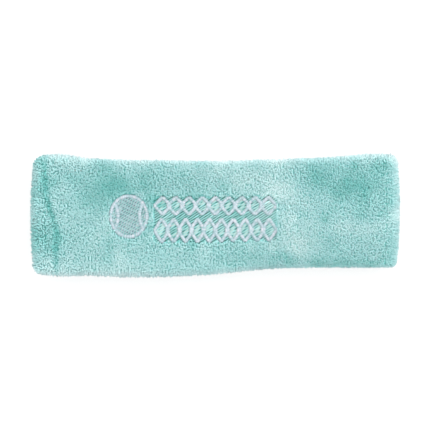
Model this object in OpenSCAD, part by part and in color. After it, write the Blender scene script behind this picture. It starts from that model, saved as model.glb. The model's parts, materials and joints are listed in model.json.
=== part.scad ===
// Terry sweatband for the head, lying flat with its front upwards.
// The band is an endless tube of terry cloth with elastic cords laid inside it.
// X runs along the flattened band, Y across its width and Z up through its thickness.
// The origin is on the resting surface, under the middle of the band.
// The cloth is divided at its bends into stretches, so that the flattened loop can be opened.

/* [Band] */
// Length of the flattened band, from fold to fold
flat_length = 180; // [178:0.5:190]
// Width of the band, from one long edge to the other
band_width = 57; // [50:0.5:75]
// Space between the front and the back, where the head goes
head_gap = 4.6; // [4.5:0.1:6]

/* [Cloth] */
// Thickness of one ply of the terry sleeve, with its loops
ply = 2.2; // [1.8:0.1:2.4]
// Height of the pocket between the two plies
core = 1.4; // [1.4:0.1:1.8]

/* [Elastic] */
// Number of elastic cords inside the sleeve
cord_count = 6; // [3:1:8]
// Diameter of one covered elastic cord
cord_d = 0.8; // [0.5:0.1:0.8]

/* [Bends] */
// Distance from the middle of a panel to its first bend
inner_bend = 31; // [31:0.1:31.6]
// Distance from the middle of a panel to its second bend
outer_bend = 64; // [58:0.5:68]
// Angle from one bend of a folded end to the next
fold_step = 60; // [50:1:65]
// Space between two neighbouring stretches of cloth
cut_gap = 0.1; // [0.05:0.01:0.2]

/* [Seam] */
// Distance from the middle to the closing seam, on the left of the front
seam_at = 79; // [78.5:0.1:80]
// Width of the groove that the seam pulls into the pile
seam_groove = 5; // [3:0.1:5]
// Length of one zigzag stitch along the seam
stitch_pitch = 2.6; // [2:0.1:4]

/* [Embroidery] */
// Distance from the middle to the centre of the ball emblem
emblem_at = 42; // [41.9:0.1:43]
// Radius of the ball emblem
emblem_r = 9.8; // [7:0.1:9.8]
// Width of an embroidered line
line_w = 1.4; // [0.8:0.1:1.6]
// Height of one motif in the upper row
upper_h = 9.6; // [7:0.1:9.8]
// Height of one motif in the lower row
lower_h = 12; // [9:0.1:12.2]
// Number of motifs in the upper row
upper_count = 9; // [6:1:9]
// Number of motifs in the lower row
lower_count = 10; // [6:1:10]

/* [Hidden] */
$fn = 64;

wall = 2 * ply + core;
thickness = 2 * wall + head_gap;
fold_r = thickness / 2;
wall_mid_r = (fold_r + head_gap / 2) / 2;
fold_x = flat_length / 2 - fold_r;
// The cut beside a bend in a fold, as an angle at the outer surface
cut_angle = cut_gap / 2 / fold_r * 180 / PI;

pocket_w = band_width - 2 * ply;
cord_pitch = pocket_w / cord_count;

seam_gap = 0.3;
seam_depth = 0.85;
seam_clear = 0.15;
stitch_d = 0.5;
stitch_margin = 0.6;
stitch_reach = seam_groove / 2 - stitch_margin;
stitch_count = floor((band_width - wall) / stitch_pitch);

// Embroidery lies in a hollow of the pile: a ground of stitches with the motifs on it
hollow = 1.2;
ground_t = 0.5;
motif_t = 0.6;
hollow_rim = 0.5;
row_left = -29.6;
row_right = 30;
row_top = 10;
row_split = -0.8;
row_bottom = -14;
emblem_y = -0.5;
backing_t = 0.2;
backing_rim = 1;
backing_clear = 0.05;
// How far the ball's seams are centred from it, as a share of its radius
ball_seam_away = 1.45;
// How far each diamond reaches into the next, as a share of their distance
diamond_overlap = 0.25;
diamond_line = 0.7 * line_w;

// A stretch is [name, side, level, start, end, fold start, fold end].
// Every stretch is a piece of the right end of the back, mirrored to its side and its level.
// Start and end are distances along X on the straight part, and a fold's angles are measured
// from its outermost point. A piece with no straight part or no fold has two equal values there.
STRETCHES = [
    ["back_centre", "right", "back", -inner_bend, inner_bend, 0, 0],
    ["back_right", "right", "back", inner_bend, outer_bend, 0, 0],
    ["back_end_right", "right", "back", outer_bend, fold_x, -90, -fold_step],
    ["right_fold_lower", "right", "back", 0, 0, -fold_step, 0],
    ["right_fold_upper", "right", "front", 0, 0, -fold_step, 0],
    ["front_end_right", "right", "front", outer_bend, fold_x, -90, -fold_step],
    ["front_right", "right", "front", inner_bend, outer_bend, 0, 0],
    ["front_centre", "right", "front", -inner_bend, inner_bend, 0, 0],
    ["front_left", "left", "front", inner_bend, outer_bend, 0, 0],
    ["front_end_left", "left", "front", outer_bend, seam_at, 0, 0],
    ["closing_end", "left", "front", seam_at, fold_x, -90, -fold_step],
    ["left_fold_upper", "left", "front", 0, 0, -fold_step, 0],
    ["left_fold_lower", "left", "back", 0, 0, -fold_step, 0],
    ["back_end_left", "left", "back", outer_bend, fold_x, -90, -fold_step],
    ["back_left", "left", "back", inner_bend, outer_bend, 0, 0]
];

// Carries a cross-section, drawn with X through the cloth and Y across the band,
// along a straight part of the back
module along_panel(start, end) {
    translate([start, 0, wall / 2])
        rotate([90, 0, 90])
            linear_extrude(end - start)
                rotate(90)
                    children();
}

// Carries a cross-section around the right fold
module around_fold(start, end) {
    translate([fold_x, 0, thickness / 2])
        rotate([90, 0, 0])
            rotate([0, 0, start])
                rotate_extrude(angle = end - start)
                    translate([wall_mid_r, 0])
                        children();
}

// Mirrors what is made at the right end of the back to the named side and level
module at_place(side, level) {
    mirror([side == "left" ? 1 : 0, 0, 0])
        translate([0, 0, level == "front" ? thickness : 0])
            mirror([0, 0, level == "front" ? 1 : 0])
                children();
}

// Half of the space that is left between two stretches that meet at x on a straight part
function half_gap(x) = (x == seam_at ? seam_gap : cut_gap) / 2;

// Carries a cross-section along one stretch, less half of the space at each of its ends
module along(s) {
    straight = s[3] != s[4];
    folded = s[5] != s[6];
    at_place(s[1], s[2]) {
        if (straight)
            along_panel(s[3] + half_gap(s[3]), s[4] - (folded ? 0 : half_gap(s[4])))
                children();
        if (folded)
            around_fold(s[5] + (straight ? 0 : cut_angle), s[6] - cut_angle)
                children();
    }
}

// A flat strip with round long edges
module strip(t, w) {
    square([t, w - t], center = true);
    for (side = [-1, 1])
        translate([0, side * (w - t) / 2])
            circle(d = t);
}

// Section of the sleeve: a flattened tube of terry
module sleeve_section() {
    difference() {
        strip(wall, band_width);
        strip(core, pocket_w);
    }
}

// Section of the elastic: a row of round cords
module elastic_section() {
    for (i = [0 : cord_count - 1])
        translate([0, (i - (cord_count - 1) / 2) * cord_pitch])
            circle(d = cord_d);
}

// The outline of the embroidered rows, grown by a rim
module row_outline(rim) {
    translate([row_left - rim, row_bottom - rim])
        square([row_right - row_left + 2 * rim, row_top - row_bottom + 2 * rim]);
}

// The outline of the emblem, grown by a rim
module emblem_outline(rim) {
    translate([-emblem_at, emblem_y])
        circle(emblem_r + rim);
}

// The hollows that the stitching presses into the pile of the front
module hollows() {
    translate([0, 0, thickness - hollow]) {
        linear_extrude(hollow + 1) row_outline(hollow_rim);
        linear_extrude(hollow + 1) emblem_outline(hollow_rim);
    }
}

// The groove that the seam pulls into the pile, deeper on the side that the stitches only cross
module seam_hollow(name) {
    depth = name == "closing_end" ? seam_depth : seam_depth + seam_clear;
    translate([-seam_at - seam_groove / 2, -band_width, thickness - depth])
        cube([seam_groove, 2 * band_width, depth + 1]);
}

// One stretch of the terry sleeve
module sleeve(s) {
    near_seam = s[0] == "closing_end" || s[0] == "front_end_left";
    stitched = s[0] == "front_centre" || s[0] == "front_left";
    color("paleturquoise")
        difference() {
            along(s) sleeve_section();
            if (near_seam) seam_hollow(s[0]);
            if (stitched) hollows();
        }
}

// The elastic cords inside one stretch
module elastic(s) {
    color("white")
        along(s) elastic_section();
}

// Zigzag stitching that closes the sleeve's two ends together
module seam_thread() {
    color("lightcyan")
        translate([-seam_at, 0, thickness - seam_depth])
            linear_extrude(stitch_d)
                zigzag(stitch_count, stitch_pitch, stitch_reach, stitch_d);
}

// A zigzag line along Y, made of a number of strokes
module zigzag(count, pitch, reach, width) {
    half_x = width / 2 * norm([2 * reach, pitch]) / pitch;
    turns = [for (i = [0 : count]) [(i % 2 == 0 ? -1 : 1) * reach, (i - count / 2) * pitch]];
    polygon(concat(
        [for (p = turns) p + [half_x, 0]],
        [for (i = [count : -1 : 0]) turns[i] - [half_x, 0]]
    ));
}

// Ground of short stitches that holds the pile down under the emblem
module emblem_ground() {
    color("mediumturquoise")
        translate([0, 0, thickness - hollow])
            linear_extrude(ground_t) emblem_outline(0);
}

// Ball emblem: a ring with two curved seams
module emblem_motif() {
    seam_offset = ball_seam_away * emblem_r;
    color("lavender")
        translate([-emblem_at, emblem_y, thickness - hollow + ground_t])
            linear_extrude(motif_t) {
                ring(emblem_r, line_w);
                intersection() {
                    circle(emblem_r - line_w / 2);
                    for (side = [-1, 1])
                        translate([side * seam_offset, 0]) ring(emblem_r, line_w);
                }
            }
}

// A flat ring
module ring(r, width) {
    difference() {
        circle(r);
        circle(r - width);
    }
}

// Ground of slanting stitches between and around the rows
module row_ground() {
    color("mediumturquoise")
        translate([0, 0, thickness - hollow])
            linear_extrude(ground_t) row_outline(0);
}

// An open diamond
module diamond(w, h, width) {
    inset = width * norm([w, h]) / h;
    difference() {
        polygon([[-w / 2, 0], [0, -h / 2], [w / 2, 0], [0, h / 2]]);
        polygon([[-w / 2 + inset, 0], [0, (-w / 2 + inset) * h / w],
                 [w / 2 - inset, 0], [0, (w / 2 - inset) * h / w]]);
    }
}

// A row of open diamonds, each set into the next so that the row is one braid
module diamond_row(count, h, mid_y) {
    step = (row_right - row_left) / (count + diamond_overlap);
    width = step * (1 + diamond_overlap);
    translate([0, 0, thickness - hollow + ground_t])
        linear_extrude(motif_t)
            for (i = [0 : count - 1])
                translate([row_left + step * i + width / 2, mid_y])
                    diamond(width, h, diamond_line);
}

// Upper row of embroidered motifs
module row_upper() {
    color("lavender")
        diamond_row(upper_count, upper_h, (row_top + row_split) / 2);
}

// Lower row of embroidered motifs
module row_lower() {
    color("lavender")
        diamond_row(lower_count, lower_h, (row_split + row_bottom) / 2);
}

// Non-woven backing under the stitching, in the pocket above the cords
module backing_emblem() {
    backing() intersection() {
        emblem_outline(backing_rim);
        translate([-outer_bend, -band_width / 2])
            square([outer_bend - inner_bend - cut_gap / 2, band_width]);
    }
}

module backing_rows() {
    backing() intersection() {
        row_outline(backing_rim);
        square([2 * inner_bend - cut_gap, band_width], center = true);
    }
}

module backing() {
    color("whitesmoke")
        translate([0, 0, thickness - ply - backing_clear - backing_t])
            linear_extrude(backing_t) children();
}

for (s = STRETCHES) {
    sleeve(s);
    elastic(s);
}
seam_thread();
emblem_ground();
emblem_motif();
row_ground();
row_upper();
row_lower();
backing_emblem();
backing_rows();
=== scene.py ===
"""Looks of a terry sweatband for the head, lying flat with its embroidered front up.

Everything is in the frame's own axes: X along the band, Y across it, Z up. The code works in
millimetres and make_piece() turns them into metres. A place on the band is told by its station, the
distance along the middle of the wall round the whole loop (from the middle of the back, to the right,
over the front and back again), by its place round the sleeve's section, and by its distance from
the middle of the wall.
"""

import json
import math

import bpy
import numpy as np
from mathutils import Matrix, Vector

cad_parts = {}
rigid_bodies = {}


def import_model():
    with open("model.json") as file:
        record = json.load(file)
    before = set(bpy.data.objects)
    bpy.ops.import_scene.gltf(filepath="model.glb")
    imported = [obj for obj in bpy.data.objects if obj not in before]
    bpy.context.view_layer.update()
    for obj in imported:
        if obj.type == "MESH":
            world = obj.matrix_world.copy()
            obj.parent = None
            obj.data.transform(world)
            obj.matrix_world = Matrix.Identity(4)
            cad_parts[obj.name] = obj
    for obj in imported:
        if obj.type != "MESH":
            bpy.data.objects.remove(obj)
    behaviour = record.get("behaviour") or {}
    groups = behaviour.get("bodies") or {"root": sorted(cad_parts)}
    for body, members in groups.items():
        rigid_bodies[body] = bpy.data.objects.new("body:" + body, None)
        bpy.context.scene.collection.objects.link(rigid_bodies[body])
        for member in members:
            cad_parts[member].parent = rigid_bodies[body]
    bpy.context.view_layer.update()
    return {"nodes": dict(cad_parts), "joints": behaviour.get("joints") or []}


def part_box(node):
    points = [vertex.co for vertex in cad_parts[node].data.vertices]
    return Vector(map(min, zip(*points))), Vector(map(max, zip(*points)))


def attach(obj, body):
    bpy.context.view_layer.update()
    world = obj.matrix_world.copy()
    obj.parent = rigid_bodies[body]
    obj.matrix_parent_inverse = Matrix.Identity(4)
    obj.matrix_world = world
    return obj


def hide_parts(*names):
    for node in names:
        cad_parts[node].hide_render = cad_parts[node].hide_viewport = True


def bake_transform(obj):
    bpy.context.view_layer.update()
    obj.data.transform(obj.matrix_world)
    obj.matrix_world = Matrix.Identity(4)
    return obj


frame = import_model()

MM = 0.001
rng = np.random.default_rng(20)

# ---------------------------------------------------------------- sizes from the frame, in mm

JOINTS = {j["name"]: j for j in frame["joints"]}


def node_box(node):
    low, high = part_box(node)
    return np.array(low) / MM, np.array(high) / MM


def joint_place(name):
    return np.array(JOINTS[name]["pos_m"]) / MM


front_low, front_high = node_box("sleeve_front_centre")
thickness = front_high[2]
wall = front_high[2] - front_low[2]
half_width = front_high[1]
middle = thickness / 2
fold_x = joint_place("unfold_right_middle")[0] - middle
mid_r = middle - wall / 2
inner_bend = joint_place("open")[0]
outer_bend = joint_place("bend_back_end_right")[0]
rows_low, rows_high = node_box("row_ground")
emblem_low, emblem_high = node_box("emblem_ground")
emblem_centre = (emblem_low + emblem_high)[:2] / 2
emblem_r = (emblem_high[0] - emblem_low[0]) / 2
rows_split = node_box("row_upper")[0][1] / 2 + node_box("row_lower")[1][1] / 2  # y between the rows

# ---------------------------------------------------------------- the cloth's own sizes, in mm

PILE = 1.75  # height of the terry loops over the ground cloth
GROUND = wall / 2 - PILE  # the ground cloth's distance from the middle of the wall
YARN_R = 0.33
WALE = 0.84  # between columns of loops, along the band
PAIRING = 0.03  # share of a wale that neighbouring columns stand closer in pairs
COURSE = 0.72  # between rows of loops, across the band
FLUFF = 0.5  # height that the relaxed loops stand over the pressed thickness of the cloth
SPINE = half_width - wall / 2  # half of the flat part of the section
EDGE_R = 2.1  # radius at which loops are counted round the long edges

# ---------------------------------------------------------------- the loop's path

fold_length = math.pi * mid_r
RIGHT_FOLD = fold_x
FRONT = RIGHT_FOLD + fold_length
LEFT_FOLD = FRONT + 2 * fold_x
BACK_LEFT = LEFT_FOLD + fold_length
WHOLE = BACK_LEFT + fold_x


def front_station(x):
    """Station of a place on the front."""
    return FRONT + fold_x - x


def fold_station(side, degrees):
    """Station in a folded end, by the angle from its outermost point, upwards."""
    along = math.radians(90 + degrees) * mid_r
    return RIGHT_FOLD + along if side > 0 else BACK_LEFT - along


def spine(q):
    """Middle of the wall at each station: x, z, and the wall's outward normal's x and z."""
    q = np.asarray(q, float)
    right, left = (q - RIGHT_FOLD) / mid_r - math.pi / 2, (q - LEFT_FOLD) / mid_r + math.pi / 2
    where = [q < RIGHT_FOLD, q < FRONT, q < LEFT_FOLD, q < BACK_LEFT]
    x = np.select(
        where,
        [q, fold_x + mid_r * np.cos(right), fold_x - (q - FRONT), -fold_x + mid_r * np.cos(left)],
        q - WHOLE,
    )
    low, high = wall / 2, thickness - wall / 2
    z = np.select(
        where,
        [q * 0 + low, middle + mid_r * np.sin(right), q * 0 + high, middle + mid_r * np.sin(left)],
        low,
    )
    nx = np.select(where, [q * 0, np.cos(right), q * 0, np.cos(left)], 0.0)
    nz = np.select(where, [q * 0 - 1, np.sin(right), q * 0 + 1, np.sin(left)], -1.0)
    return x, z, nx, nz


def section(sigma):
    """Place on the middle line of the wall's section, and the surface normal there.

    sigma runs across one face of the wall, from the middle of one long edge to the other's.
    """
    sigma = np.asarray(sigma, float)
    bend = np.clip((np.abs(sigma) - SPINE) / EDGE_R, 0, math.pi / 2)
    y = np.clip(sigma, -SPINE, SPINE)
    return y, np.sign(sigma) * np.sin(bend), np.cos(bend)


HALF_FACE = SPINE + EDGE_R * math.pi / 2


# How far the simulated cloth stands out of the plain band, at PUFF_Q stations and 2 * PUFF_SIGMA places
# round the section. It is None until the simulation has run.
PUFF = None
PUFF_Q, PUFF_SIGMA = 120, 20


def puff(q, sigma, face):
    """How far the simulated cloth moved a place of the sleeve, between the points that it was made of."""
    inner_columns = [0, *range(2 * PUFF_SIGMA - 1, PUFF_SIGMA - 1, -1)]
    grid = PUFF[:, : PUFF_SIGMA + 1] if face > 0 else PUFF[:, inner_columns]
    a, b = np.broadcast_arrays(np.asarray(q) / WHOLE * PUFF_Q, (sigma / HALF_FACE + 1) / 2 * PUFF_SIGMA)
    i = np.floor(a).astype(int)
    k = np.clip(np.floor(b), 0, PUFF_SIGMA - 1).astype(int)
    s, t = (a - i)[..., None], (b - k)[..., None]
    i, j = i % PUFF_Q, (i + 1) % PUFF_Q
    near = grid[i, k] * (1 - t) + grid[i, k + 1] * t
    far = grid[j, k] * (1 - t) + grid[j, k + 1] * t
    return near * (1 - s) + far * s


def surface(q, sigma, face, rho):
    """Points at distance rho from the middle of the wall, and the normals there.

    face is 1 on the outside of the loop and -1 on the side of the head.
    """
    q, sigma = np.broadcast_arrays(np.asarray(q, float), np.asarray(sigma, float))
    x, z, nx, nz = spine(q)
    y, ny, nu = section(sigma)
    nu = nu * face
    normal = np.stack([nu * nx, ny + 0 * nx, nu * nz], -1)
    point = np.stack([x, y + 0 * x, z], -1) + np.asarray(rho)[..., None] * normal
    if PUFF is not None:
        point = point + puff(q, sigma, face)
    return point, normal


def along(q):
    """Direction of growing station, in X and Z."""
    _, _, nx, nz = spine(q)
    return np.stack([-nz, 0 * nx, nx], -1)


# ---------------------------------------------------------------- the outline and the lie of the cloth


def curve(x, places, values):
    """A smooth curve through a few values at rising places."""
    places, values = np.array(places, float), np.array(values, float)
    slopes = np.gradient(values, places)
    i = np.clip(np.searchsorted(places, x) - 1, 0, len(places) - 2)
    a, b = places[i], places[i + 1]
    t = np.clip((x - a) / (b - a), 0, 1)
    va, vb = values[i], values[i + 1]
    sa, sb = slopes[i] * (b - a), slopes[i + 1] * (b - a)
    return (
        va * (2 * t**3 - 3 * t**2 + 1)
        + sa * (t**3 - 2 * t**2 + t)
        + vb * (3 * t**2 - 2 * t**3)
        + sb * (t**3 - t**2)
    )


def step(value, low, high):
    """Goes smoothly from 0 at low to 1 at high."""
    t = np.clip((value - low) / (high - low), 0, 1)
    return t * t * (3 - 2 * t)


def bump(x, y, cx, cy, rx, ry, turn=0.0):
    """A soft round hill of height 1, rx by ry, turned by some degrees."""
    c, s = math.cos(math.radians(turn)), math.sin(math.radians(turn))
    u, v = (x - cx) * c + (y - cy) * s, (y - cy) * c - (x - cx) * s
    return np.exp(-((u / rx) ** 2) - (v / ry) ** 2)


def landscape(x, y, hills):
    """The sum of some hills, each given by its height and then by its middle, radii and turn."""
    total = 0.0
    for height, *form in hills:
        total = total + height * bump(x, y, *form)
    return total


EDGE_X = [-90, -76, -63, -50, -25, 0, 28, 55, 76, 90]
UPPER_EDGE = [28.9, 29.5, 27.7, 27.0, 26.6, 26.3, 27.0, 28.1, 29.6, 29.6]  # y of the edge at each EDGE_X
LOWER_EDGE = [-28.6, -29.8, -29.4, -30.0, -30.0, -28.8, -26.1, -25.6, -25.6, -25.6]
BOW_START, BOW_LENGTH = 60, 30  # from how far out, and over what length, the ends bow outwards
LEFT_BOW, RIGHT_BOW = (0.7, 0.48), (0.9, 0.55)  # how far each end bows, and at which share of the width
BOW_CURVE = 6.0  # how fast the bow falls off from there
CORNER = 0.16  # share of the half width that a rounded corner takes
UPPER_CUTS, LOWER_CUTS = (1.6, 0.5), (0.4, 0.0)  # how far the left and right corners are drawn in
OVER_TABLE = 0.03  # least height of the cloth over the table

# The heights in mm by which the front rises or sinks as the cloth lies, with where they do.
LIE = [
    (1.1, 27, -4, 6, 26, 16),  # the ridge at the right end of the rows
    (-0.9, -50, 15, 14, 7, 10),  # the hollow over the emblem
    (-0.9, 58, 12, 22, 9, -8),  # the long hollow at the upper right
    (0.6, -66, -4, 9, 22),  # the swell beside the closing seam
    (-0.5, 10, -22, 40, 6),  # the hollow under the rows
    (0.5, 72, -12, 9, 14),  # the swell at the lower right
    (0.4, -8, 18, 20, 6),  # the swell over the rows
]


def settle(points):
    """Lays points of the plain band as the real cloth lies: its outline, its bows and its hollows."""
    x, y, z = points[..., 0], points[..., 1], points[..., 2]
    upper, lower = curve(x, EDGE_X, UPPER_EDGE), curve(x, EDGE_X, LOWER_EDGE)
    share = (y / half_width + 1) / 2
    new_y = y + (y / half_width) ** 2 * np.where(y > 0, upper - half_width, lower + half_width)
    out = np.clip((np.abs(x) - BOW_START) / BOW_LENGTH, 0, 1) ** 2
    bows = [most - BOW_CURVE * (share - place) ** 2 for most, place in (LEFT_BOW, RIGHT_BOW)]
    corner = np.clip((np.abs(2 * share - 1) - (1 - CORNER)) / CORNER, 0, 1) ** 2
    cuts = [np.where(x < 0, *pair) for pair in (UPPER_CUTS, LOWER_CUTS)]
    bow = np.where(x < 0, *bows) - corner * np.where(share > 0.5, *cuts)
    new_x = x + np.sign(x) * out * bow
    rise = np.clip(z / thickness, 0, 1) ** 1.5
    new_z = z + landscape(x, new_y, LIE) * rise
    return np.stack([new_x, new_y, np.maximum(new_z, OVER_TABLE)], -1)


# ---------------------------------------------------------------- seam and embroidery on the front

SEAM_Y = [-30, -22, -7, -2, 6, 18, 30]
SEAM_X = [-77.4, -77.6, -77.2, -78.8, -81.0, -82.8, -83.2]
SEAM_SPREAD = 1.4  # how far beside the seam its valley reaches
ROW_COUNTS = {"row_upper": 9, "row_lower": 10}
OVERLAP = 0.25  # share of a diamond's pitch that it reaches into the next
EMBLEM_TALL = 1.11  # the stretch of the emblem across the band


def seam_x(y):
    """Where the closing seam runs."""
    return curve(y, SEAM_Y, SEAM_X)


def seam_dip(x, y):
    """How far the closing seam pulls the pile down, from 0 to 1: unevenly, and less at its ends."""
    pull = 0.72 + 0.2 * np.sin(y / 2.3) + 0.12 * np.sin(y / 0.9 + 1)
    ends = 1 - 0.5 * step(np.abs(y + 2), 18, 25)
    return pull * ends * np.exp(-(((x - seam_x(y)) / SEAM_SPREAD) ** 2))


def row_waves(x, row):
    """From 0 at the middle of each diamond of a row to 1 where two of them meet."""
    pitch = (rows_high[0] - rows_low[0]) / (ROW_COUNTS[row] + OVERLAP)
    return np.abs((x - rows_low[0] - pitch * OVERLAP / 2) / pitch % 1 - 0.5) * 2


def outside_rows(x, y):
    """Distance outside the stitched ground of the rows; negative inside."""
    cx, cy = (rows_low[0] + rows_high[0]) / 2, (rows_low[1] + rows_high[1]) / 2
    hx, hy = (rows_high[0] - rows_low[0]) / 2, (rows_high[1] - rows_low[1]) / 2
    corner, hollow = 1.5, 1.6
    upper, lower = (row_waves(x, row) for row in ("row_upper", "row_lower"))
    hollows = hollow * np.where(y > rows_split, upper, lower)
    dx, dy = np.abs(x - cx) - hx + corner, np.abs(y - cy) - hy + corner + hollows
    return np.hypot(np.maximum(dx, 0), np.maximum(dy, 0)) + np.minimum(np.maximum(dx, dy), 0) - corner


def outside_emblem(x, y):
    """Distance outside the stitched ground of the emblem; negative inside."""
    return np.hypot(x - emblem_centre[0], (y - emblem_centre[1]) / EMBLEM_TALL) - emblem_r


def outside_stitches(x, y):
    return np.minimum(outside_rows(x, y), outside_emblem(x, y))


# Shades of the pile on the front, painted light and shade where its ridges, hollows, creases and edges
# catch or lose the light: above 0 painted lighter, below 0 painted darker.
PAINTED_SHADING = [
    (1.5, 30, 7, 11, 18, 14),  # the light ridge at the right end of the rows
    (0.5, 4, 22, 24, 7),
    (0.4, 38, -14, 6, 12, 10),
    (0.6, -50, -27, 34, 5),  # light along the lower edge at the left
    (0.45, -57, -16, 13, 7),
    (0.3, -72, -4, 6, 22),
    (0.4, 0, 28, 90, 3.5),  # light along the whole upper edge
    (-1.25, -47, 15, 15, 6.5, 5),  # the dark hollow over the emblem
    (0.45, -85, -10, 5, 7),
    (-1.3, 66, 14, 20, 8, -8),  # the dark hollow at the upper right
    (-0.6, 65, -26, 22, 4.5),  # dark along the lower edge at the right
    (-0.9, 30, -4, 4, 7),  # the dark crease beside the lower row
    (-0.3, 44, -6, 8, 7),
    (0.9, 80, 28, 13, 4),  # the light corner at the upper right
    (0.3, -44, 28, 34, 4),
    (-0.3, -16, 21, 14, 4),
    (-0.3, 33, 21, 10, 5),
    (-0.3, -67, -15, 9, 6),
    (0.4, -73, 20, 8, 5),
    (0.4, -77, -27, 9, 4),
    (-0.5, 18, -23, 14, 5),  # dark under the rows
    (0.4, 86, 14, 6, 14),
    (0.6, 44, -17, 9, 6),
    (0.6, 62, -9, 9, 6),
    (-0.5, 29, -21, 6, 5),
    (-0.65, -86, 12, 7, 17),  # the darker end left of the closing seam
    (-0.45, -52, 5, 8, 8),
    (0.9, 39, -21, 5, 5),
]
SEAM_SHADE = 1.9  # painted shade: how much darker the pile is coloured in the seam's valley


def painted_shading(x, y):
    """Painted light and shade of the pile on the front, with the painted shade of the seam's valley; 0
    where it is as on most of the band.
    """
    return landscape(x, y, PAINTED_SHADING) - SEAM_SHADE * seam_dip(x, y)


SPOTS = np.random.default_rng(7).uniform(-1, 1, (260, 4))  # places, sizes and strengths of cloudy patches
SPOT_FIELD = (92, 30)  # half the size of the field that they cover
SPOT_R, SPOT_SPREAD = 3.3, 1.5  # their middle radius, and how much it varies
SPOT_SHADE = 0.7  # the strongest one's shade


def mottle(x, y):
    """Faint cloudy patches, where the pile lies one way or another."""
    shade = 0.0
    for a, b, size, strength in SPOTS:
        radius = SPOT_R + SPOT_SPREAD * size
        spot = bump(x, y, SPOT_FIELD[0] * a, SPOT_FIELD[1] * b, radius, radius)
        shade = shade + SPOT_SHADE * strength * spot
    return shade


# ---------------------------------------------------------------- cloth simulation of the sleeve

SIM_SCALE = 4  # the cloth is simulated larger than life, where the solver is steady
SIM_FRAMES = 20
SWELL = 0.03  # how much longer the terry is than its elastic
MOST_PUFF = 1.0  # limit that the moves of its points are eased to
EVENING = 3  # how often each point of the result is averaged with its neighbours along the band


def skin_points():
    """The whole sleeve's skin at every station: across its outer face, and back across the inner one."""
    q = np.arange(PUFF_Q)[:, None] / PUFF_Q * WHOLE
    sigma = np.linspace(-HALF_FACE, HALF_FACE, PUFF_SIGMA + 1)[None]
    outer, _ = surface(q, sigma, 1, wall / 2)
    inner, _ = surface(q, sigma[:, -2:0:-1], -1, wall / 2)
    return np.concatenate([outer, inner], 1)


def skin_object(skin):
    """The skin as one closed mesh, larger than life."""
    rings, around = skin.shape[:2]
    index = np.arange(rings * around).reshape(rings, around)
    beside, ahead = np.roll(index, -1, 1), np.roll(index, -1, 0)
    quads = np.stack([index, beside, np.roll(beside, -1, 0), ahead], -1).reshape(-1, 4)
    mesh = bpy.data.meshes.new("sleeve_skin")
    mesh.from_pydata((skin.reshape(-1, 3) * SIM_SCALE * MM).tolist(), [], quads.tolist())
    cloth = bpy.data.objects.new("sleeve_skin", mesh)
    bpy.context.scene.collection.objects.link(cloth)
    return cloth


def held(skin):
    """How firmly each point is held, from 0 to 1: at the folds, the stitches, the seam and the edges."""
    x, y, z = skin[..., 0], skin[..., 1], skin[..., 2]
    front = z > thickness - 1
    folds = step(np.abs(x), fold_x - 3, fold_x)
    stitches = np.where(front, step(outside_stitches(x, y), 1.5, 0.0), 0)
    seam = np.where(front, step(np.abs(x - seam_x(y)), 3.0, 1.0), 0)
    edges = step(np.abs(y), SPINE, SPINE + 1.5)
    return np.maximum.reduce([folds, stitches, seam, edges])


def add_cloth(cloth, weights):
    """Gives the skin Blender's Cloth: limp, a little too long, and under a soft pressure from inside."""
    group = cloth.vertex_groups.new(name="held")
    for i, weight in enumerate(weights.ravel()):
        group.add([i], float(weight), "REPLACE")
    modifier = cloth.modifiers.new("cloth", "CLOTH")
    settings = modifier.settings
    settings.quality = 6
    settings.mass = 0.15
    settings.tension_stiffness = settings.compression_stiffness = 12
    settings.shear_stiffness = 6
    settings.bending_stiffness = 0.3
    settings.shrink_min = -SWELL
    settings.use_pressure = True
    settings.uniform_pressure_force = 0.8
    settings.vertex_group_mass = "held"
    settings.effector_weights.gravity = 0
    modifier.point_cache.frame_start, modifier.point_cache.frame_end = 1, SIM_FRAMES


def simulate_cloth():
    """Lets the terry swell over its shorter elastic, and returns how far each point of the skin moved.

    The folds, the stitching, the seam and the edges hold their places, and between them the skin rises
    in soft uneven puffs.
    """
    skin = skin_points()
    cloth = skin_object(skin)
    add_cloth(cloth, held(skin))
    scene = bpy.context.scene
    for number in range(1, SIM_FRAMES + 1):
        scene.frame_set(number)
    result = cloth.evaluated_get(bpy.context.evaluated_depsgraph_get()).data
    moved = np.empty(len(result.vertices) * 3, np.float32)
    result.vertices.foreach_get("co", moved)
    moved = moved.reshape(skin.shape) / MM / SIM_SCALE - skin
    scene.frame_set(1)
    mesh = cloth.data
    bpy.data.objects.remove(cloth)
    bpy.data.meshes.remove(mesh)
    size = np.linalg.norm(moved, axis=-1, keepdims=True)
    moved = moved * (MOST_PUFF * np.tanh(size / MOST_PUFF) / (size + 1e-9))
    for _ in range(EVENING):
        moved = (np.roll(moved, 1, 0) + 2 * moved + np.roll(moved, -1, 0)) / 4
    return moved


PUFF = simulate_cloth()

# ---------------------------------------------------------------- meshes


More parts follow.
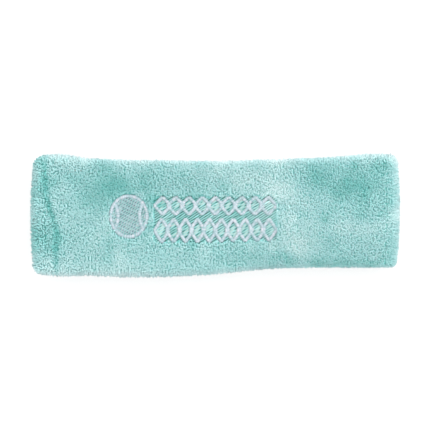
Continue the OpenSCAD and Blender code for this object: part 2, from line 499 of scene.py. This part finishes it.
class Parts:
    """Collects vertices, quads and the attributes that the materials read."""

    def __init__(self):
        self.points, self.quads, self.tip, self.tint, self.count = [], [], [], [], 0

    def add(self, points, quads, tip, tint):
        points = points.reshape(-1, 3)
        self.points.append(points)
        self.quads.append(quads.reshape(-1, 4) + self.count)
        self.tip.append(np.broadcast_to(tip, len(points)).ravel())
        self.tint.append(np.broadcast_to(tint, len(points)).ravel())
        self.count += len(points)

    def sheet(self, points, tip, tint):
        """A grid of points as a smooth sheet."""
        rows, columns = points.shape[:2]
        index = np.arange(rows * columns).reshape(rows, columns)
        corners = [index[:-1, :-1], index[1:, :-1], index[1:, 1:], index[:-1, 1:]]
        tip = np.broadcast_to(tip, (rows, columns)).ravel()
        tint = np.broadcast_to(tint, (rows, columns)).ravel()
        self.add(points, np.stack(corners, -1), tip, tint)

    def tubes(self, paths, radius, tip, tint, sides=3, side_hint=None):
        """A round thread along every path. paths is threads x points x 3.

        side_hint gives each thread a direction off its path, by which its section's corners are placed.
        """
        threads, steps = paths.shape[:2]
        if not threads:
            return
        tangent = np.gradient(paths, axis=1)
        tangent /= np.linalg.norm(tangent, axis=-1, keepdims=True) + 1e-9
        hint = np.array([0, 0, 1.0]) if side_hint is None else side_hint[:, None, :]
        across = np.cross(tangent, hint)
        size = np.linalg.norm(across, axis=-1, keepdims=True)
        across = np.where(size > 1e-3, across / (size + 1e-9), np.array([1.0, 0, 0]))
        other = np.cross(tangent, across)
        angle = 2 * math.pi * np.arange(sides) / sides + math.pi / 2
        radius = np.broadcast_to(np.asarray(radius), (threads, steps))[..., None, None]
        ring = (
            np.cos(angle)[:, None] * across[:, :, None, :]
            + np.sin(angle)[:, None] * other[:, :, None, :]
        )
        points = paths[:, :, None, :] + radius * ring
        index = np.arange(threads * steps * sides).reshape(threads, steps, sides)
        beside = np.roll(index, -1, axis=2)
        quads = np.stack([index[:, :-1], beside[:, :-1], beside[:, 1:], index[:, 1:]], -1)
        tip = np.broadcast_to(tip, (threads, steps))[..., None]
        tint = np.broadcast_to(np.asarray(tint).reshape(-1, 1), (threads, steps))[..., None]
        whole = (threads, steps, sides)
        tip, tint = np.broadcast_to(tip, whole).ravel(), np.broadcast_to(tint, whole).ravel()
        self.add(points, quads, tip, tint)


def make_piece(name, parts, material):
    """Turns collected parts into one object, laid as the cloth lies."""
    points = np.concatenate(parts.points)
    quads = np.concatenate(parts.quads)
    mesh = bpy.data.meshes.new(name)
    mesh.vertices.add(len(points))
    mesh.vertices.foreach_set("co", (settle(points) * MM).astype(np.float32).ravel())
    mesh.loops.add(quads.size)
    mesh.loops.foreach_set("vertex_index", quads.astype(np.int32).ravel())
    mesh.polygons.add(len(quads))
    mesh.polygons.foreach_set("loop_start", np.arange(0, quads.size, 4, dtype=np.int32))
    mesh.polygons.foreach_set("use_smooth", np.ones(len(quads), bool))
    mesh.update(calc_edges=True)
    for key, kind, field, values in (
        ("rest", "FLOAT_VECTOR", "vector", points),
        ("tip", "FLOAT", "value", np.concatenate(parts.tip)),
        ("tint", "FLOAT", "value", np.concatenate(parts.tint)),
    ):
        attribute = mesh.attributes.new(key, kind, "POINT")
        attribute.data.foreach_set(field, values.astype(np.float32).ravel())
    mesh.materials.append(material)
    piece = bpy.data.objects.new(name, mesh)
    bpy.context.scene.collection.objects.link(piece)
    return piece


# ---------------------------------------------------------------- materials


class Nodes:
    """A material's node tree, with short calls to fill it."""

    def __init__(self, name):
        self.material = bpy.data.materials.new(name)
        self.material.use_nodes = True
        self.tree = self.material.node_tree
        self.shader = self.tree.nodes["Principled BSDF"]

    def add(self, kind, inputs=(), **settings):
        node = self.tree.nodes.new(kind)
        for key, value in settings.items():
            setattr(node, key, value)
        for socket, value in dict(inputs).items():
            if isinstance(value, bpy.types.NodeSocket):
                self.tree.links.new(value, node.inputs[socket])
            else:
                node.inputs[socket].default_value = value
        return node

    def attribute(self, name, output="Fac"):
        return self.add("ShaderNodeAttribute", attribute_name=name).outputs[output]

    def ramp(self, value, *stops):
        node = self.add("ShaderNodeValToRGB", {"Fac": value})
        elements = node.color_ramp.elements
        while len(elements) < len(stops):
            elements.new(0.5)
        for element, (place, colour) in zip(elements, stops):
            element.position = place
            element.color = (*colour, 1)
        return node.outputs["Color"]

    def math(self, operation, *values):
        return self.add("ShaderNodeMath", enumerate(values), operation=operation).outputs[0]

    def noise(self, vector, scale, detail=2.0):
        inputs = {"Vector": vector, "Scale": scale, "Detail": detail}
        return self.add("ShaderNodeTexNoise", inputs).outputs["Fac"]

    def mix(self, factor, a, b, blend="MIX"):
        node = self.add("ShaderNodeMix", data_type="RGBA", blend_type=blend)
        for socket, value in ((node.inputs[0], factor), (node.inputs[6], a), (node.inputs[7], b)):
            if isinstance(value, bpy.types.NodeSocket):
                self.tree.links.new(value, socket)
            else:
                socket.default_value = value
        return node.outputs[2]

    def bump(self, height, strength, distance):
        inputs = {"Height": height, "Strength": strength, "Distance": distance}
        self.set("Normal", self.add("ShaderNodeBump", inputs).outputs["Normal"])

    def rim(self, rest):
        """From 0 on the band's flat faces to 1 round its outermost rim, where a painted shade can be laid.
        """
        x, y, _ = self.add("ShaderNodeSeparateXYZ", {"Vector": rest}).outputs
        grown = []
        for value, low, high in ((x, fold_x + 4, fold_x + middle), (y, SPINE, half_width)):
            inputs = {"Value": self.math("ABSOLUTE", value, 0.0), "From Min": low, "From Max": high}
            grown.append(self.add("ShaderNodeMapRange", inputs).outputs["Result"])
        return self.math("MAXIMUM", *grown)

    def set(self, socket, value):
        if isinstance(value, bpy.types.NodeSocket):
            self.tree.links.new(value, self.shader.inputs[socket])
        else:
            self.shader.inputs[socket].default_value = value


def srgb(r, g, b):
    """A colour given as 0 to 255 in sRGB, in linear light."""
    return tuple((c / 255 / 12.92) if c <= 10 else ((c / 255 + 0.055) / 1.055) ** 2.4 for c in (r, g, b))


PLAIN = (1.0, 1.0, 1.0)
DEEP = (0.51, 0.8, 0.77)  # what the colour of the darkest threads is multiplied by: on the terry pile, its painted shade


def thread_material(name, colours, roughness, sheen, twist=3.0, pale=(1.5, 1.17, 1.17), rim=PLAIN):
    """Spun thread: painted shade deep down and painted light at the tips, each thread a little different,
    with its fibres as fine relief.

    colours are those deep down, halfway and at the tips, a painted shade along each thread. pale and rim
    multiply them on the palest threads and round the band's rim: on the terry pile, the painted light of
    its light patches and a painted shade round its rim.
    """
    m = Nodes(name)
    dark, mid, light = colours
    rest = m.attribute("rest", "Vector")
    tip, tint = m.attribute("tip"), m.attribute("tint")
    fibres = m.noise(rest, twist, 3.0)
    shade = m.math("ADD", tip, m.math("MULTIPLY", m.math("SUBTRACT", fibres, 0.5), 0.35))
    shade = m.math("ADD", shade, m.math("MULTIPLY", m.math("SUBTRACT", tint, 0.5), 0.3))
    # colour from painted shade deep down to painted light at the tips
    colour = m.ramp(shade, (0.0, dark), (0.42, mid), (1.0, light))
    colour = m.mix(1.0, colour, m.ramp(tint, (0.0, DEEP), (0.5, PLAIN), (1.0, pale)), "MULTIPLY")
    # painted shade: the colour made greyer and darker round the band's rim
    if rim != PLAIN:
        colour = m.mix(1.0, colour, m.ramp(m.rim(rest), (0.0, PLAIN), (1.0, rim)), "MULTIPLY")
    m.set("Base Color", colour)
    m.set("Roughness", m.math("MULTIPLY_ADD", fibres, 0.12, roughness - 0.06))
    m.set("Sheen Weight", sheen)
    m.set("Sheen Roughness", 0.45)
    m.set("Specular IOR Level", 0.25)
    m.bump(fibres, 0.5, 0.0002)
    return m.material


# The terry's darker colour at the loops' roots is painted shade, and its lighter one at their tips painted
# light.
terry = thread_material(
    "terry_cloth",
    (srgb(136, 206, 202), srgb(172, 223, 223), srgb(176, 222, 222)),
    roughness=0.9,
    sheen=0.4,
    # painted shade round the rim, against the light that the glowing table throws on the band's sides
    rim=(0.92, 0.86, 0.87),
)
satin = thread_material(
    "motif_thread",
    (srgb(104, 140, 147), srgb(147, 169, 177), srgb(178, 193, 200)),
    roughness=0.5,
    sheen=0.1,
    twist=5.0,
)
ground_thread = thread_material(
    "ground_thread",
    (srgb(24, 78, 72), srgb(62, 120, 113), srgb(124, 168, 162)),
    roughness=0.6,
    sheen=0.1,
    pale=(2.2, 1.4, 1.45),
)
seam_thread = thread_material(
    "seam_thread",
    (srgb(60, 140, 135), srgb(90, 170, 165), srgb(130, 200, 196)),
    roughness=0.6,
    sheen=0.1,
)
elastic = thread_material(
    "covered_elastic",
    (srgb(160, 165, 160), srgb(220, 222, 216), srgb(240, 240, 236)),
    roughness=0.7,
    sheen=0.1,
    twist=2.0,
)

# ---------------------------------------------------------------- the terry sleeve

PRESSED = 1.5  # distance of the stitched-down pile from the middle of the wall
SEAM_DEPTH = 0.6  # how far the ground cloth sinks at the seam
INNER_STRETCH = (mid_r - 2.0) / mid_r  # share of the loops that fit in the inside of a fold
SHEET_STEP, SHEET_ROWS = 0.8, 72  # fineness of the ground cloth's mesh, along and across
SHADE_TINT = 0.4  # how strongly the pile's painted light and shade change its tint

STRAY_ALONG, STRAY_ACROSS = 0.17, 0.32  # most that a loop strays, in wales and courses
STAGGER = 0.5  # how far neighbouring columns are shifted against each other, in courses
ROOT = 0.15  # depth of a loop's feet in the ground cloth
TURN = 1.25  # most that a loop turns about its root, in radians
LEAN, TILT = 0.38, 0.1  # most that a loop leans, and how much all the outer ones lean towards +Y
LOOP_W, W_SPREAD = 0.5, 0.12  # a loop's width, and how much it varies
HEIGHT_SPREAD, TINT_SPREAD = 0.13, 0.08  # how much its height and its tint vary
SEAM_UNEVEN = 0.8  # how unevenly the loops sink at the seam
SEAM_LOW, SEAM_DARK = 0.35, 0.3  # shares of a loop's height that are lost at the seam, and of its lightness, painted darker there as shade
LOOP_OUT = np.array([-0.42, -0.62, 0.0, 0.62, 0.42])  # a loop's points to its sides, in widths
LOOP_UP = np.array([0.0, 0.62, 1.0, 0.62, 0.0])  # and up from its feet, in heights


def pressed(q, sigma, face):
    """Where the sleeve is stitched down, how far the seam dips, and the shade of the pile: painted light
    and shade on the front, a painted highlight along the long edges, and random cloudy patches.
    """
    point, _ = surface(q, sigma, face, GROUND)
    x, y, front = point[..., 0], point[..., 1], (point[..., 2] > middle) & (face > 0)
    stitched = np.where(front & (np.abs(x) < fold_x), step(-outside_stitches(x, y), -0.5, 0.2), 0.0)
    dip = np.where(front, seam_dip(x, y), 0.0)
    # painted highlight: the pile coloured lighter along the long edges
    painted_edge_light = 0.15 * step(np.abs(sigma), SPINE - 1, SPINE + 2)
    return stitched, dip, np.where(front, painted_shading(x, y), 0.0) + mottle(x, y) + painted_edge_light


def ground_cloth(parts, q0, q1, face):
    """The knitted ground that the loops stand on, as a smooth sheet."""
    columns = max(4, round((q1 - q0) / SHEET_STEP))
    places = np.linspace(q0, q1, columns + 1), np.linspace(-HALF_FACE, HALF_FACE, SHEET_ROWS + 1)
    q, sigma = np.meshgrid(*places, indexing="ij")
    stitched, dip, shade = pressed(q, sigma, face)
    rho = GROUND + (PRESSED - GROUND) * stitched - SEAM_DEPTH * dip
    point, _ = surface(q, sigma, face, rho)
    if face < 0:
        point = point[:, ::-1]
    # painted shade: the ground coloured as dark as the loops' roots under the pile, and lighter where the
    # stitches press the pile down; its tint carries the pile's painted light and shade
    parts.sheet(point, -0.1 + 0.5 * stitched, 0.4 + SHADE_TINT * shade)


def pile(parts, q0, q1, face, stretch):
    """Terry loops, each a bent tube of yarn, in columns along the band's width."""
    columns, rows = max(2, round((q1 - q0) * stretch / WALE)), round(2 * HALF_FACE / COURSE)
    i, k = (a.ravel() for a in np.meshgrid(np.arange(columns), np.arange(rows), indexing="ij"))
    count = i.size
    beside = PAIRING * (i % 2 * 2 - 1) + rng.uniform(-STRAY_ALONG, STRAY_ALONG, count)
    q = q0 + (i + 0.5 + beside) / columns * (q1 - q0)
    shift = STAGGER * (i % 2 - 0.5) + rng.uniform(-STRAY_ACROSS, STRAY_ACROSS, count)
    sigma = ((k + 0.5 + shift) / rows * 2 - 1) * HALF_FACE
    draws = rng.uniform(-1, 1, (count, 6))
    stitched, dip, shade = pressed(q, sigma, face)
    keep = stitched < 0.5
    q, sigma, draws, dip, shade = q[keep], sigma[keep], draws[keep], dip[keep], shade[keep]
    turned, leaning, aside, wide, tall, tinted = (draws[:, n : n + 1] for n in range(6))
    dip = dip * (1 + SEAM_UNEVEN * aside[:, 0])
    base, normal = surface(q, sigma, face, GROUND - ROOT - SEAM_DEPTH * dip)
    forward = along(q)
    sideways = np.cross(normal, forward)
    plane = sideways * np.cos(turned * TURN) + forward * np.sin(turned * TURN)
    lean = forward * leaning * LEAN + sideways * (aside * LEAN - TILT)
    width = LOOP_W + W_SPREAD * wide
    height = (PILE - YARN_R + ROOT + FLUFF) * (1 + HEIGHT_SPREAD * tall) * (1 - SEAM_LOW * dip[:, None])
    out, up = LOOP_OUT[None, :, None], LOOP_UP[None, :, None]
    paths = (
        base[:, None, :]
        + out * (plane * width)[:, None, :]
        + up * (normal * height)[:, None, :]
        + up**2 * (lean * height)[:, None, :]
    )
    # painted shade: each loop coloured darker towards its feet, and darker still in the seam's valley
    tip = LOOP_UP[None, :] * (1 - SEAM_DARK * dip[:, None])
    # painted light and shade of the pile, with its random tone from loop to loop
    tint = 0.5 + SHADE_TINT * shade + TINT_SPREAD * tinted[:, 0]
    parts.tubes(paths, YARN_R, tip, tint, 3, np.cross(plane, normal))


# ---------------------------------------------------------------- the hinges, and the pieces cut at them

half_bend = (outer_bend - inner_bend) / 2
mid_bends = (outer_bend + inner_bend) / 2
SEAM_CUT = -79.0  # where the front is cut at the closing seam
SEAM_BEND = 13.0  # shorter than the other bends, since the seam is near
FOLD_BEND = 2.5
INNER_FOLD_BEND = 1.0  # the same on the side of the head, where the fold is tight

# Joints in the order of their stations, each with the cut after it and half of its bending stretch.
BENDS = [
    ("open", mid_bends, half_bend),
    ("bend_back_end_right", RIGHT_FOLD, half_bend),
    ("unfold_right_lower", fold_station(1, -30), FOLD_BEND),
    ("unfold_right_middle", fold_station(1, 30), FOLD_BEND),
    ("unfold_right_upper", FRONT, FOLD_BEND),
    ("bend_front_end_right", front_station(mid_bends), half_bend),
    ("bend_front_right", front_station(0), half_bend),
    ("bend_front_left", front_station(-mid_bends), half_bend),
    ("bend_front_end_left", front_station(SEAM_CUT), SEAM_BEND),
    ("unfold_left_upper", fold_station(-1, 30), FOLD_BEND),
    ("unfold_left_middle", fold_station(-1, -30), FOLD_BEND),
    ("unfold_left_lower", BACK_LEFT, FOLD_BEND),
    ("bend_back_end_left", WHOLE - mid_bends, half_bend),
    ("bend_back_left", WHOLE, half_bend),
]


def joint_station(name):
    """Station of a joint, from its place in the frame."""
    x, _, z = joint_place(name)
    if abs(x) > fold_x:
        return fold_station(np.sign(x), math.degrees(math.atan2(z - middle, abs(x) - fold_x)))
    return front_station(x) if z > middle else x % WHOLE


def bend_with(piece, name, half):
    """Fixes a piece's place into its mesh at a joint. It works out the joint's direction along the band,
    over a distance to each side, but doesn't use it, so the piece doesn't bend.
    """
    forward = along(joint_station(name)) * half
    if joint_station(name) > front_station(SEAM_CUT):
        forward = -forward  # past the closing seam, a joint's parent is at the higher station
    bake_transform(piece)


def place_name(joint):
    """What a joint's name says about its place, for the names of the pieces there."""
    place = joint.removeprefix("unfold_").removeprefix("bend_").replace("open", "back_right")
    return place + "_fold" if joint.startswith("unfold") else place


def make_sleeve():
    """The terry sleeve, a piece for every joint, with the pile's outer and inner faces."""
    q0 = 0.0
    for name, q1, half in BENDS:
        folded = name.startswith("unfold")
        for face, label in ((1, "outer"), (-1, "inner")):
            tight = folded and face < 0
            parts = Parts()
            ground_cloth(parts, q0, q1, face)
            pile(parts, q0, q1, face, INNER_STRETCH if tight else 1.0)
            piece = make_piece(f"terry_{place_name(name)}_{label}", parts, terry)
            bend_with(piece, name, INNER_FOLD_BEND if tight else half)
            joint = JOINTS[name]
            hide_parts("sleeve_" + joint["parent"], "sleeve_" + joint["child"])
        q0 = q1


# ---------------------------------------------------------------- elastic cords in the sleeve

CORDS = 6
CORD_GAP = 0.01  # so that the ends of two pieces of a cord don't touch
CORD_STEP = 1.5  # between the points of a cord


def make_elastic():
    """The elastic cords side by side in the middle of the wall, a piece for every joint."""
    low, high = node_box("elastic_back_centre")
    radius = (high[2] - low[2]) / 2
    rows = np.linspace(low[1] + radius, high[1] - radius, CORDS)
    across = np.tile([0.0, 1.0, 0.0], (CORDS, 1))
    q0 = 0.0
    for name, q1, half in BENDS:
        q = np.linspace(q0 + CORD_GAP, q1 - CORD_GAP, max(5, round((q1 - q0) / CORD_STEP)))
        x, z, _, _ = spine(q)
        paths = np.stack([np.stack([x, 0 * x + y, z], -1) for y in rows])
        parts = Parts()
        parts.tubes(paths, radius, 0.6, np.full(CORDS, 0.5), 8, across)
        piece = make_piece("cords_" + place_name(name), parts, elastic)
        bend_with(piece, name, half)
        joint = JOINTS[name]
        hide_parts("elastic_" + joint["parent"], "elastic_" + joint["child"])
        q0 = q1


# ---------------------------------------------------------------- embroidery

FRONT_MID = thickness - wall / 2
STITCHED = FRONT_MID + PRESSED  # height of the pressed pile that the stitches lie on
LINE_W = 1.45  # width of a satin line
THREAD_R = 0.2
SATIN_STEP = THREAD_R * 1.75  # between the threads of a satin line
SATIN_LIFT = 0.75  # height of a satin line's middle over its sides
SATIN_SLANT = 0.28  # how far a satin thread's end is ahead of its start

GROUND_R = THREAD_R * 1.4
STITCH = 4.2  # length of a ground stitch
STITCH_PITCH, STITCH_ROWS = 4.1, 1.0  # between ground stitches, along them and from row to row
STITCH_SHIFT = 0.37  # share of the pitch by which each row is shifted
STITCH_SLANT = math.radians(33)
STITCH_LIFT = 0.32  # height of a ground stitch's middle over its ends


def arched(t):
    """Height along a thread from 0 at its ends to 1 in its middle, for t from -0.5 to 0.5."""
    return 1 - (2 * t) ** 2


def lay_stitches(parts, outside, low, high, tone):
    """Short slanting stitches, brick-wise, each cut off where it leaves the outline of the ground.

    outside tells a place's distance outside that outline, and tone the tint of a stitch there.
    """
    direction = np.array([math.cos(STITCH_SLANT), math.sin(STITCH_SLANT)])
    normal = np.array([-direction[1], direction[0]])
    reach = math.hypot(high[0] - low[0], high[1] - low[1]) / 2 + STITCH
    places = np.arange(-reach, reach, STITCH_PITCH), np.arange(-reach, reach, STITCH_ROWS)
    a, b = np.meshgrid(*places, indexing="ij")
    a = a + (np.round(b / STITCH_ROWS) * STITCH_SHIFT % 1) * STITCH_PITCH
    centre = (np.array(low[:2]) + np.array(high[:2])) / 2
    middles = centre + a.reshape(-1, 1) * direction + b.reshape(-1, 1) * normal
    count = len(middles)
    size = STITCH * (1 + 0.08 * rng.uniform(-1, 1, count))
    middles = middles + rng.uniform(-0.08, 0.08, (count, 2))
    s = np.linspace(-0.5, 0.5, 13)
    trial = middles[:, None, :] + (size[:, None] * s)[..., None] * direction
    within = outside(trial[..., 0], trial[..., 1]) < 0
    start, end = s[within.argmax(1)], s[len(s) - 1 - within[:, ::-1].argmax(1)]
    keep = within.sum(1) >= 3
    t = np.linspace(-0.5, 0.5, 5)
    cut = (start + end)[:, None] / 2 + (end - start)[:, None] * t
    flat = (middles[:, None, :] + (size[:, None] * cut)[..., None] * direction)[keep]
    height = PRESSED + 0.05 + STITCH_LIFT * arched(t)
    z = FRONT_MID + height + rng.uniform(-0.05, 0.05, (len(flat), 1))
    paths = np.concatenate([flat, np.broadcast_to(z, flat.shape[:2])[..., None]], -1)
    tint = tone(paths[:, 2, 0], paths[:, 2, 1]) + rng.uniform(-0.6, 0.6, len(paths))
    # painted shade: each ground stitch darker towards its ends, where it dives into the cloth
    parts.tubes(paths, GROUND_R, (0.1 + 0.85 * arched(t))[None, :], tint, 4)


def satin_column(parts, centres, normals, width):
    """Threads laid across a line, side by side, high in the middle as satin stitch is."""
    count = len(centres)
    t = np.linspace(-0.5, 0.5, 6)
    reach = width * (1 + 0.05 * rng.uniform(-1, 1, count))
    ahead = np.stack([normals[:, 1], -normals[:, 0]], -1)
    flat = (
        centres[:, None, :]
        + (reach[:, None] * t)[..., None] * normals[:, None, :]
        + (SATIN_SLANT * t)[None, :, None] * ahead[:, None, :]
    )
    arch = np.sqrt(np.clip(1 - (1.9 * t) ** 2, 0, 1))
    z = STITCHED + 0.15 + SATIN_LIFT * arch[None, :] + rng.uniform(-0.03, 0.03, (count, 1))
    paths = np.concatenate([flat, np.broadcast_to(z, flat.shape[:2])[..., None]], -1)
    tint = 0.5 + 0.3 * rng.uniform(-1, 1, count)
    # painted shade: each satin thread darker towards its sides, where it dives into the cloth
    parts.tubes(paths, THREAD_R, (0.25 + 0.75 * arch)[None, :], tint, 4)


def straight_line(parts, start, end, width):
    """A satin line between two points."""
    start, end = np.array(start), np.array(end)
    length = np.linalg.norm(end - start)
    direction = (end - start) / length
    centres = start + np.arange(0.1, length, SATIN_STEP)[:, None] * direction
    normals = np.tile([-direction[1], direction[0]], (len(centres), 1))
    satin_column(parts, centres, normals, width)


def round_line(parts, centre, radius, start, end, width):
    """A satin line along an arc, between two angles in radians."""
    count = max(3, round(radius * (end - start) / SATIN_STEP))
    angle = np.linspace(start, end, count, endpoint=False)
    normals = np.stack([np.cos(angle), np.sin(angle)], -1)
    satin_column(parts, np.array(centre) + radius * normals, normals, width)


def only_side(parts, side):
    """Collected parts with only the faces that lie on one side of the band's middle."""
    chosen = Parts()
    for points, quads, tip, tint in zip(parts.points, parts.quads, parts.tip, parts.tint):
        first = quads.min()
        keep = (points[quads - first].mean(axis=1)[:, 0] >= 0) == (side > 0)
        chosen.add(points, quads[keep] - first, tip, tint)
    return chosen


def front_piece(name, parts, material, joint, node):
    """Embroidery of one CAD node, put in its place on the front."""
    piece = make_piece(name, parts, material)
    bend_with(piece, joint, half_bend)
    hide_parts(node)


def row_tone(x, y):
    """Tint of the rows' ground: paler inside the diamonds than round them."""
    pale = 0.0
    for row in ROW_COUNTS:
        low, high = node_box(row)
        up = np.abs(y - (low[1] + high[1]) / 2) / (high[1] - low[1]) * 2
        pale = np.maximum(pale, step(row_waves(x, row) + up, 1.05, 0.9))
    return 0.05 + 0.8 * pale


def diamonds(row, count):
    """A row of open diamonds in satin lines, each reaching a little into the next."""
    parts = Parts()
    low, high = node_box(row)
    pitch = (rows_high[0] - rows_low[0]) / (count + OVERLAP)
    half_w, half_h = pitch * (1 + OVERLAP) / 2, (high[1] - low[1]) / 2 - 0.4
    y = (low[1] + high[1]) / 2
    for i in range(count):
        x = rows_low[0] + pitch * i + half_w
        corners = [(x - half_w, y), (x, y + half_h), (x + half_w, y), (x, y - half_h)]
        for a, b in zip(corners, corners[1:] + corners[:1]):
            straight_line(parts, a, b, LINE_W)
    return parts


def make_rows():
    """Two braided rows of open diamonds on their ground of slanting stitches."""
    ground = Parts()
    lay_stitches(ground, outside_rows, rows_low, rows_high, row_tone)
    motifs = {row: diamonds(row, count) for row, count in ROW_COUNTS.items()}
    for side, label in ((-1, "left"), (1, "right")):
        joint = "bend_front_" + label
        stitches = only_side(ground, side)
        front_piece("row_ground_" + label, stitches, ground_thread, joint, "row_ground")
        for row, parts in motifs.items():
            front_piece(f"{row}_{label}", only_side(parts, side), satin, joint, row)


SEAM_AWAY = 1.45 * emblem_r  # distance of the ball's seam arcs' centres from its own
HATCH_SLANT = math.radians(68)
HATCH_ROWS, HATCH_STITCH = 1.15, 3.1  # between the ball's rows of hatching, and the length of its stitches
HATCH_PAIR = 0.14  # half of the distance between the two threads of a stitch


def hatch_ball(parts):
    """Rows of double threads that fill the ball inside its ring."""
    t = np.linspace(0, 1, 6)
    height = STITCHED + 0.2 + 0.35 * (1 - (2 * t - 1) ** 2)
    direction = np.array([math.cos(HATCH_SLANT), math.sin(HATCH_SLANT)])
    across = np.array([-direction[1], direction[0]])
    for offset in np.arange(-emblem_r + 1.6, emblem_r - 1.5, HATCH_ROWS):
        half = math.sqrt((emblem_r - LINE_W) ** 2 - offset**2)
        ends = np.append(np.arange(-half, half, HATCH_STITCH), half)
        for a, b in zip(ends, ends[1:]):
            line = emblem_centre + across * offset + direction * np.linspace(a, b, 6)[:, None]
            path = np.concatenate([line, height[:, None]], 1)
            for beside in (-HATCH_PAIR, HATCH_PAIR):
                shifted = path + np.append(across * beside, rng.uniform(-0.05, 0.05))
                parts.tubes(shifted[None], THREAD_R, 0.7, np.array([0.45 + rng.uniform(-0.1, 0.1)]), 4)


def make_emblem():
    """A plain ball with two curved seams."""
    ground, ball = Parts(), Parts()
    cx, cy = emblem_centre
    lay_stitches(ground, outside_emblem, emblem_low, emblem_high, lambda x, y: 0.35 + 0 * x)
    ring_r = emblem_r - LINE_W / 2 - 0.1
    round_line(ball, (cx, cy), ring_r, 0, 2 * math.pi, LINE_W)
    reach = math.acos((SEAM_AWAY / 2) / ring_r) * 0.93
    round_line(ball, (cx - SEAM_AWAY, cy), ring_r, -reach, reach, LINE_W)
    round_line(ball, (cx + SEAM_AWAY, cy), ring_r, math.pi - reach, math.pi + reach, LINE_W)
    hatch_ball(ball)
    for points in ball.points:
        points[:, 1] = cy + (points[:, 1] - cy) * EMBLEM_TALL
    joint = "bend_front_left"
    front_piece("emblem_ground_stitches", ground, ground_thread, joint, "emblem_ground")
    front_piece("emblem_ball", ball, satin, joint, "emblem_motif")


# ---------------------------------------------------------------- closing seam


ZIGZAG_PITCH, ZIGZAG_REACH = 1.3, 1.1  # between the zigzag's corners, along the seam and to its sides
ZIGZAG_HEIGHT = 1.9  # of the thread over the middle of the wall
ZIGZAG_DEPTH, ZIGZAG_BOW = 0.5, 0.15  # how far it sinks with the valley, and rises between its corners


def make_seam():
    """Zigzag thread along the seam, sunk in its valley."""
    y = np.arange(-SPINE - 1.5, SPINE + 1.5, ZIGZAG_PITCH)
    corners = np.stack([seam_x(y) + ZIGZAG_REACH * (np.arange(len(y)) % 2 * 2 - 1), y], -1)
    t = np.linspace(0, 1, 5)[:-1]
    flat = (corners[:-1, None] * (1 - t)[:, None] + corners[1:, None] * t[:, None]).reshape(-1, 2)
    bow = np.tile(4 * t * (1 - t), len(corners) - 1)
    dip = seam_dip(flat[:, 0], flat[:, 1])
    z = FRONT_MID + ZIGZAG_HEIGHT - ZIGZAG_DEPTH * dip + ZIGZAG_BOW * bow
    path = np.concatenate([flat, z[:, None]], -1)[None]
    parts = Parts()
    parts.tubes(path, THREAD_R, 0.6, np.array([0.5]), 6)
    piece = make_piece("seam_zigzag", parts, seam_thread)
    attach(piece, "closing_end")
    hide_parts("seam_thread")


# ---------------------------------------------------------------- nodes that stay as CAD made them


def backing_material():
    """Non-woven backing: pressed fibres in every direction."""
    m = Nodes("non_woven_backing")
    place = m.add("ShaderNodeTexCoord").outputs["Object"]
    stretched = m.add("ShaderNodeMapping", {"Vector": place, "Scale": (1, 0.25, 1)}).outputs["Vector"]
    fibres = m.noise(stretched, 2500, 6.0)
    m.set("Base Color", m.ramp(fibres, (0.3, srgb(205, 205, 198)), (0.7, srgb(240, 240, 234))))
    m.set("Roughness", 0.9)
    m.bump(fibres, 0.4, 0.0002)
    return m.material


def finish_backing():
    """Gives the two backings, whose CAD solids are flat as they are, their material."""
    material = backing_material()
    for node in ("backing_emblem", "backing_rows"):
        backing = frame["nodes"][node]
        backing.data.materials.clear()
        backing.data.materials.append(material)


# ---------------------------------------------------------------- floor, light and camera, in metres


def make_floor():
    """A wide white table that glows a little, so that it is pure white round the band."""
    mesh = bpy.data.meshes.new("floor")
    half = 4.0
    corners = [(-half, -half, 0), (half, -half, 0), (half, half, 0), (-half, half, 0)]
    mesh.from_pydata(corners, [], [(0, 1, 2, 3)])
    m = Nodes("lit_white_table")
    place = m.add("ShaderNodeTexCoord").outputs["Object"]
    m.set("Base Color", m.ramp(m.noise(place, 3.0), (0.0, (0.29,) * 3), (1.0, (0.31,) * 3)))
    m.set("Roughness", 0.95)
    m.set("Specular IOR Level", 0.1)
    m.set("Emission Color", (1, 1, 1, 1))
    m.set("Emission Strength", 0.66)
    mesh.materials.append(m.material)
    floor = bpy.data.objects.new("floor", mesh)
    bpy.context.scene.collection.objects.link(floor)


def make_light(name, place, size, watts):
    """A round lamp that points at the band."""
    data = bpy.data.lights.new(name, "AREA")
    data.shape, data.size, data.energy = "DISK", size, watts
    light = bpy.data.objects.new(name, data)
    light.location = place
    light.rotation_mode = "QUATERNION"
    light.rotation_quaternion = (-light.location).to_track_quat("-Z", "Y")
    bpy.context.scene.collection.objects.link(light)


def make_world(horizon, overhead):
    """A white sky that grows brighter from the horizon up."""
    world = bpy.data.worlds.new("studio")
    world.use_nodes = True
    tree = world.node_tree
    direction = tree.nodes.new("ShaderNodeTexCoord").outputs["Generated"]
    height = tree.nodes.new("ShaderNodeSeparateXYZ")
    grow = tree.nodes.new("ShaderNodeMapRange")
    grow.inputs["To Min"].default_value, grow.inputs["To Max"].default_value = horizon, overhead
    background = tree.nodes["Background"]
    background.inputs["Color"].default_value = (1, 1, 1, 1)
    tree.links.new(direction, height.inputs["Vector"])
    tree.links.new(height.outputs["Z"], grow.inputs["Value"])
    tree.links.new(grow.outputs["Result"], background.inputs["Strength"])
    bpy.context.scene.world = world


def make_camera():
    """Straight down on the front, with a long lens."""
    view_width, lens, sensor = 0.2092, 100.0, 36.0
    data = bpy.data.cameras.new("camera")
    data.lens, data.sensor_width = lens, sensor
    data.clip_start, data.clip_end = 0.01, 20
    camera = bpy.data.objects.new("camera", data)
    camera.location = (0, 0, thickness * MM + view_width * lens / sensor)
    bpy.context.scene.collection.objects.link(camera)
    bpy.context.scene.camera = camera


make_camera()
make_floor()
make_world(horizon=1.08, overhead=1.77)
make_light("key", place=(0.4, 0.5, 0.7), size=0.5, watts=4.4)
make_sleeve()
make_elastic()
make_rows()
make_emblem()
make_seam()
finish_backing()
bpy.context.scene.view_settings.view_transform = "Standard"
